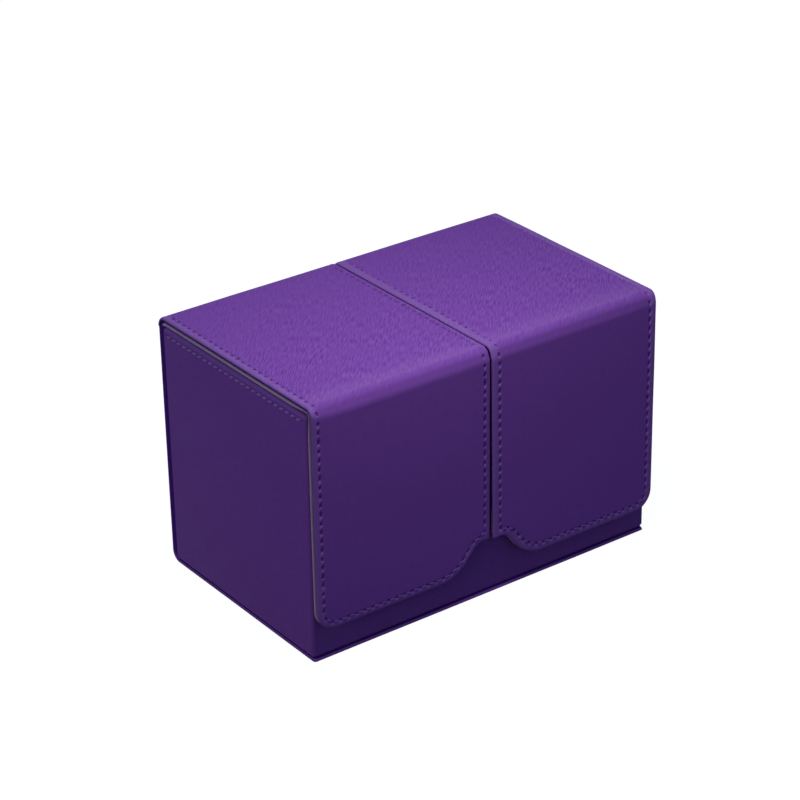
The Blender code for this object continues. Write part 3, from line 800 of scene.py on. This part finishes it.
# Brushed microfibre has a short soft nap: matt, with a faint edge glow and cloudy patches.
object_place = add(tree, "TexCoord")
nap = add(tree, "TexNoise", {"Vector": object_place.outputs["Object"], "Scale": 260, "Detail": 4.0,
                             "Roughness": 0.6})
fibres = add(tree, "TexNoise", {"Vector": object_place.outputs["Object"], "Scale": 2400, "Detail": 2.0})
cloth = add(tree, "Mix", {"Factor": nap.outputs["Fac"], "A": colour("a6869b"), "B": colour("b696ab")},
            data_type="RGBA")
height = add(tree, "Math", {0: nap.outputs["Fac"], 1: 0.5, 2: fibres.outputs["Fac"]},
             operation="MULTIPLY_ADD")
pile = add(tree, "Bump", {"Height": height.outputs[0], "Distance": 0.12 * mm})
surface = add(tree, "BsdfPrincipled", {"Base Color": cloth.outputs[2], "Roughness": 0.95, "IOR": 1.45,
                                       "Sheen Weight": 0.25, "Sheen Roughness": 0.5,
                                       "Normal": pile.outputs[0]})
add(tree, "OutputMaterial", {"Surface": surface.outputs[0]})

# The lining's edge above and below, and how far it lies in from the skin's: all round, more at the
# seam, and behind the rear fold on the sides and down the back.
LINING_UPPER = [(0, -2.75), (0.05, -2.6), (0.16, -2.46), (0.34, -2.36), (0.6, -2.31), (0.85, -2.3),
                (1.0, -2.85), (1.6, -2.85)]
LINING_LOWER = [(0, -2.85), (0.06, -3.02), (0.2, -3.18), (0.5, -3.38), (0.9, -3.6), (1.3, -3.76),
                (1.8, -3.8)]
LINING_SETBACK = 0.2 * mm
SEAM_SETBACK = 2.6 * mm
FOLD_SETBACK = 1.4 * mm
REAR_SETBACK = 4.4 * mm
for name, cut in SIDES.items():
    shape = {key: cut[key] for key in ("side", "hem", "notch", "top_corner", "hem_corner")}
    outline = side_outline(margin=LINING_SETBACK, seam_margin=SEAM_SETBACK, rear_margin=FOLD_SETBACK,
                           **shape)
    panel, row = slab(outline, in_metres(LINING_UPPER), in_metres(LINING_LOWER))
    scored(panel, 1, steps_between(FRONT_FOLD_START, FLAP_START, 0.6 * mm)
           + steps_between(BACK_START, REAR_FOLD_START, 0.6 * mm)
           + steps_between(REAR_FOLD_START, FRONT_FOLD_START, 6 * mm)
           + steps_between(FLAP_START, FLAP_START + 84 * mm, 6 * mm))
    scored(panel, 0, [cut["side"] * value
                      for value in steps_between(4 * mm, outer_edge - 4 * mm, 6 * mm)])
    front = trimmed(panel, 0, None)
    rear = trimmed(panel, BACK_START, 0)
    panel.free()
    for part in (front, rear):
        wrap(part)
    front = placed(front, name + "_lid_and_flap_lining", microfibre)
    rear = placed(rear, name + "_lid_rear_lining", microfibre)
    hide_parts(name + "_flap_lining", name + "_front_fold_lining")
    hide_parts(name + "_lid_lining", name + "_rear_fold_lining")
    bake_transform(front, name + "_lid", name + "_flap", start=wrapped((0, FRONT_FOLD_START, 0)),
             end=wrapped((0, FLAP_START, 0)))
    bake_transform(rear, "box", name + "_lid", start=wrapped((0, BACK_START, 0)),
             end=wrapped((0, REAR_FOLD_START, 0)))

lining_edge = outer_edge - REAR_SETBACK
back_outline = [(-lining_edge, LOWER_FOLD_START, 0), (lining_edge, LOWER_FOLD_START, 0),
                (lining_edge, BACK_START + OFFCUT, 0), (-lining_edge, BACK_START + OFFCUT, 0)]
panel, row = slab(back_outline, in_metres(LINING_UPPER), in_metres(LINING_LOWER))
scored(panel, 1, steps_between(LOWER_FOLD_START + 6 * mm, BACK_START, 6 * mm))
back = trimmed(panel, None, BACK_START)
panel.free()
wrap(back)
back = placed(back, "back_cover_lining", microfibre)
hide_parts("back_lining")
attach(back, "box")

# The inner box: greyboard walls and floor, wrapped in the same skin, which is turned in over the
# rim and down inside, and in under the floor. A row of stitches holds the turned rim.
body_low, body_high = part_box("body_skin")
RIM_UPPER = [(0, -1.2), (0.09, -0.74), (0.35, -0.35), (0.74, -0.09), (1.2, 0), (3.0, 0), (3.46, -0.09),
             (3.85, -0.35), (4.11, -0.74), (4.2, -1.2)]
RIM_LOWER = [(0, 1.2), (0.35, 0.35), (1.2, 0), (12, 0)]
RIM_WIDTH = RIM_UPPER[-1][0] * mm
BODY_RADIUS = 1.1 * mm
SKIN_THICKNESS = 0.8 * mm
TURN_IN = 8.8 * mm
# The skin stands out past its own solid, since it isn't drawn tight: at the ends, behind and in front.
OUTER_REACH = 2 * mm
SIDE_BULGE = 0.8 * mm
REAR_BULGE = 1.0 * mm
FRONT_BULGE = 0.4 * mm
# The row of stitches: how far below the rim, how far from each corner, the cuts beside it in
# millimetres, how thick its thread is, how short and how slanting its stitches.
RIM_ROW = 2.7 * mm
ROW_END = 2.4 * mm
RIM_CUTS = (-1.2, -0.68, -0.52, -0.34, 0.34, 0.52, 0.68)
RIM_THREAD_RADIUS = 1.4 * THREAD_RADIUS
RIM_STITCH_SHARE = 0.85
RIM_STITCH_SLANT = 0.18 * mm
# How pale the rim's roll is painted: partly rubbed, partly a painted highlight.
RIM_RUB_AND_HIGHLIGHT = 0.3
body_outline = [(body_low.x, body_low.y, 0), (body_high.x, body_low.y, 0), (body_high.x, body_high.y, 0),
                (body_low.x, body_high.y, 0)]
body, row = slab(body_outline, [(inset * mm, body_high.z + height * mm) for inset, height in RIM_UPPER],
                 [(inset * mm, body_low.z + height * mm) for inset, height in RIM_LOWER])
inner_faces = [face for face in body.faces if len(face.verts) == 4 and abs(face.normal.z) > 0.99
               and face.calc_area() > 0.3 * (body_high.x - body_low.x) * (body_high.y - body_low.y)]
inner_rim = [edge for face in inner_faces for edge in face.edges if face.calc_center_median().z > 0.05]
bmesh.ops.delete(body, geom=inner_faces, context="FACES_ONLY")
turned = bmesh.ops.extrude_edge_only(body, edges=inner_rim)
bmesh.ops.translate(body, verts=[part for part in turned["geom"] if isinstance(part, bmesh.types.BMVert)],
                    vec=(0, 0, -TURN_IN))
round_corners(body, BODY_RADIUS)
for point in body.verts:
    if abs(point.co.x) > body_high.x - OUTER_REACH:
        point.co.x += math.copysign(SIDE_BULGE, point.co.x)
    if point.co.y > body_high.y - OUTER_REACH:
        point.co.y += REAR_BULGE
    if point.co.y < body_low.y + OUTER_REACH:
        point.co.y -= FRONT_BULGE
body_low -= Vector((SIDE_BULGE, FRONT_BULGE, 0))
body_high += Vector((SIDE_BULGE, REAR_BULGE, 0))
row_height = body_high.z - RIM_ROW
walls = [(0, body_low.y, Vector((1, 0, 0)), body_low.x, body_high.x),
         (0, body_high.y, Vector((1, 0, 0)), body_low.x, body_high.x),
         (1, body_low.x, Vector((0, 1, 0)), body_low.y, body_high.y),
         (1, body_high.x, Vector((0, 1, 0)), body_low.y, body_high.y)]
rim_rows = []
for axis, face, way, low, high in walls:
    places = steps_between(low + ROW_END, high - ROW_END, STITCH)
    middle = Vector((face, 0, row_height)) if axis == 1 else Vector((0, face, row_height))
    facing = math.copysign(1, face)
    outward = Vector((facing, 0, 0)) if axis == 1 else Vector((0, facing, 0))
    rim_rows.append(([middle + way * place for place in places], outward))
scored(body, 2, [row_height + shift * mm for shift in RIM_CUTS])
rim_holes = [(hole, outward.cross(Vector((0, 0, 1)))) for row, outward in rim_rows for hole in row]
score_holes(body, rim_holes)
bmesh.ops.triangulate(body, faces=[face for face in body.faces if len(face.verts) > 4])
body.normal_update()
# The rim's roll painted paler: rubbing, and a painted highlight.
rub_and_highlight = body.verts.layers.float.new("rub_and_highlight")
for point in body.verts:
    point[rub_and_highlight] = RIM_RUB_AND_HIGHLIGHT * min(1, max(0, 1.6 - (body_high.z - point.co.z) / mm))
sheet = body.loops.layers.uv.new("flat")
for face in body.faces:
    face.smooth = True
    away = max(range(3), key=lambda axis: abs(face.normal[axis]))
    first, second = [axis for axis in range(3) if axis != away]
    for loop in face.loops:
        loop[sheet].uv = (loop.vert.co[first], loop.vert.co[second])
press(body, rim_holes, lambda hole: HOLE_DEPTH)
body_piece = placed(body, "inner_box_skin", leatherette)
thickness = body_piece.modifiers.new("thickness", "SOLIDIFY")
thickness.thickness = SKIN_THICKNESS
thickness.offset = -1
thickness.use_even_offset = True
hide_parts("body_skin")
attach(body_piece, "box")

rows = bpy.data.curves.new("rim_stitches", "CURVE")
rows.dimensions = "3D"
rows.bevel_depth = RIM_THREAD_RADIUS
rows.bevel_resolution = 1
rows.use_fill_caps = True
for row, outward in rim_rows:
    for shift, facing in ((0, 1), (-RIM_WIDTH, -1)):
        for first, second in zip(row, row[1:]):
            step = second - first
            line = rows.splines.new("POLY")
            line.points.add(len(STITCH_ARCH) - 1)
            for point, (share, rise) in zip(line.points, STITCH_ARCH):
                tilt = Vector((0, 0, -RIM_STITCH_SLANT)) * (share * 2 - 1)
                short_share = 0.5 + (share - 0.5) * RIM_STITCH_SHARE
                place = first + step * short_share + tilt + outward * (shift + facing * rise * mm)
                point.co = (*place, 1)
thread_lilac = thread("lilac_polyester_thread", "84609c", "9474ac")
rim_stitches = placed(made_mesh(rows), "rim_stitches", thread_lilac)
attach(rim_stitches, "box")

# The bays: each is lined with an open box of the same microfibre, and the board between them
# carries a cap of skin over its top edge.
TRAY_RADIUS = 1.4 * mm
TRAY_THICKNESS = 0.6 * mm
CAP_RADIUS = 1.2 * mm
for name in ("left_bay_lining", "right_bay_lining"):
    low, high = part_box(name)
    tray = bmesh.new()
    bmesh.ops.create_cube(tray, size=1)
    bmesh.ops.scale(tray, verts=tray.verts, vec=high - low)
    bmesh.ops.translate(tray, verts=tray.verts, vec=(high + low) / 2)
    bmesh.ops.delete(tray, geom=[face for face in tray.faces if face.normal.z > 0.9],
                     context="FACES_ONLY")
    bmesh.ops.bevel(tray, geom=[edge for edge in tray.edges if not edge.is_boundary], offset=TRAY_RADIUS,
                    offset_type="OFFSET", affect="EDGES", segments=4, profile=0.5, material=-1)
    for face in tray.faces:
        face.smooth = True
    piece = placed(tray, name.replace("lining", "tray_lining"), microfibre)
    piece.data.set_sharp_from_angle(angle=math.radians(40))
    thickness = piece.modifiers.new("thickness", "SOLIDIFY")
    thickness.thickness = TRAY_THICKNESS
    thickness.offset = -1
    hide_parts(name)
    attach(piece, "box")

low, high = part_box("divider_cap")
cap = bmesh.new()
bmesh.ops.create_cube(cap, size=1)
bmesh.ops.scale(cap, verts=cap.verts, vec=high - low)
bmesh.ops.translate(cap, verts=cap.verts, vec=(high + low) / 2)
open_faces = [face for face in cap.faces if face.normal.z < -0.9 or abs(face.normal.y) > 0.9]
bmesh.ops.delete(cap, geom=open_faces, context="FACES_ONLY")
bmesh.ops.bevel(cap, geom=[edge for edge in cap.edges if not edge.is_boundary], offset=CAP_RADIUS,
                offset_type="OFFSET", affect="EDGES", segments=5, profile=0.5, material=-1)
sheet = cap.loops.layers.uv.new("flat")
for face in cap.faces:
    face.smooth = True
    for loop in face.loops:
        loop[sheet].uv = (loop.vert.co.y, loop.vert.co.z + loop.vert.co.x)
cap = placed(cap, "divider_cap_skin", leatherette)
thickness = cap.modifiers.new("thickness", "SOLIDIFY")
thickness.thickness = SKIN_THICKNESS
thickness.offset = -1
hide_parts("divider_cap")
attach(cap, "box")

# The boards: grey bookbinder's board, pressed from waste paper. They are the solids themselves,
# hidden by skin and lining on every side.
greyboard, tree = empty_material("pressed_greyboard")
# Pressed waste paper is matt and grey, with darker and lighter flecks about a millimetre long.
object_place = add(tree, "TexCoord")
flecks = add(tree, "TexNoise", {"Vector": object_place.outputs["Object"], "Scale": 900, "Detail": 3.0})
pulp = add(tree, "Mix", {"Factor": flecks.outputs["Fac"], "A": colour("a39b90"), "B": colour("bdb5aa")},
           data_type="RGBA")
surface = add(tree, "BsdfPrincipled", {"Base Color": pulp.outputs[2], "Roughness": 0.9, "IOR": 1.5})
add(tree, "OutputMaterial", {"Surface": surface.outputs[0]})

# The magnets: nickel-plated discs, two let into each flap's board and two facing them in the
# front wall. They are the solids themselves.
nickel, tree = empty_material("plated_nickel")
# Bright plating over a ground disc: a metal with a fine brushed unevenness in its gloss.
object_place = add(tree, "TexCoord")
brushed = add(tree, "TexNoise", {"Vector": object_place.outputs["Object"], "Scale": 700, "Detail": 2.0})
sheen = add(tree, "MapRange", {"Value": brushed.outputs["Fac"], "From Min": 0.3, "From Max": 0.7,
                               "To Min": 0.22, "To Max": 0.32})
surface = add(tree, "BsdfPrincipled", {"Base Color": colour("d8d4cc"), "Metallic": 1.0,
                                       "Roughness": sheen.outputs[0]})
add(tree, "OutputMaterial", {"Surface": surface.outputs[0]})

for name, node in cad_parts.items():
    finish = nickel if "magnet" in name else greyboard if "board" in name else None
    if finish:
        node.data.materials.clear()
        node.data.materials.append(finish)
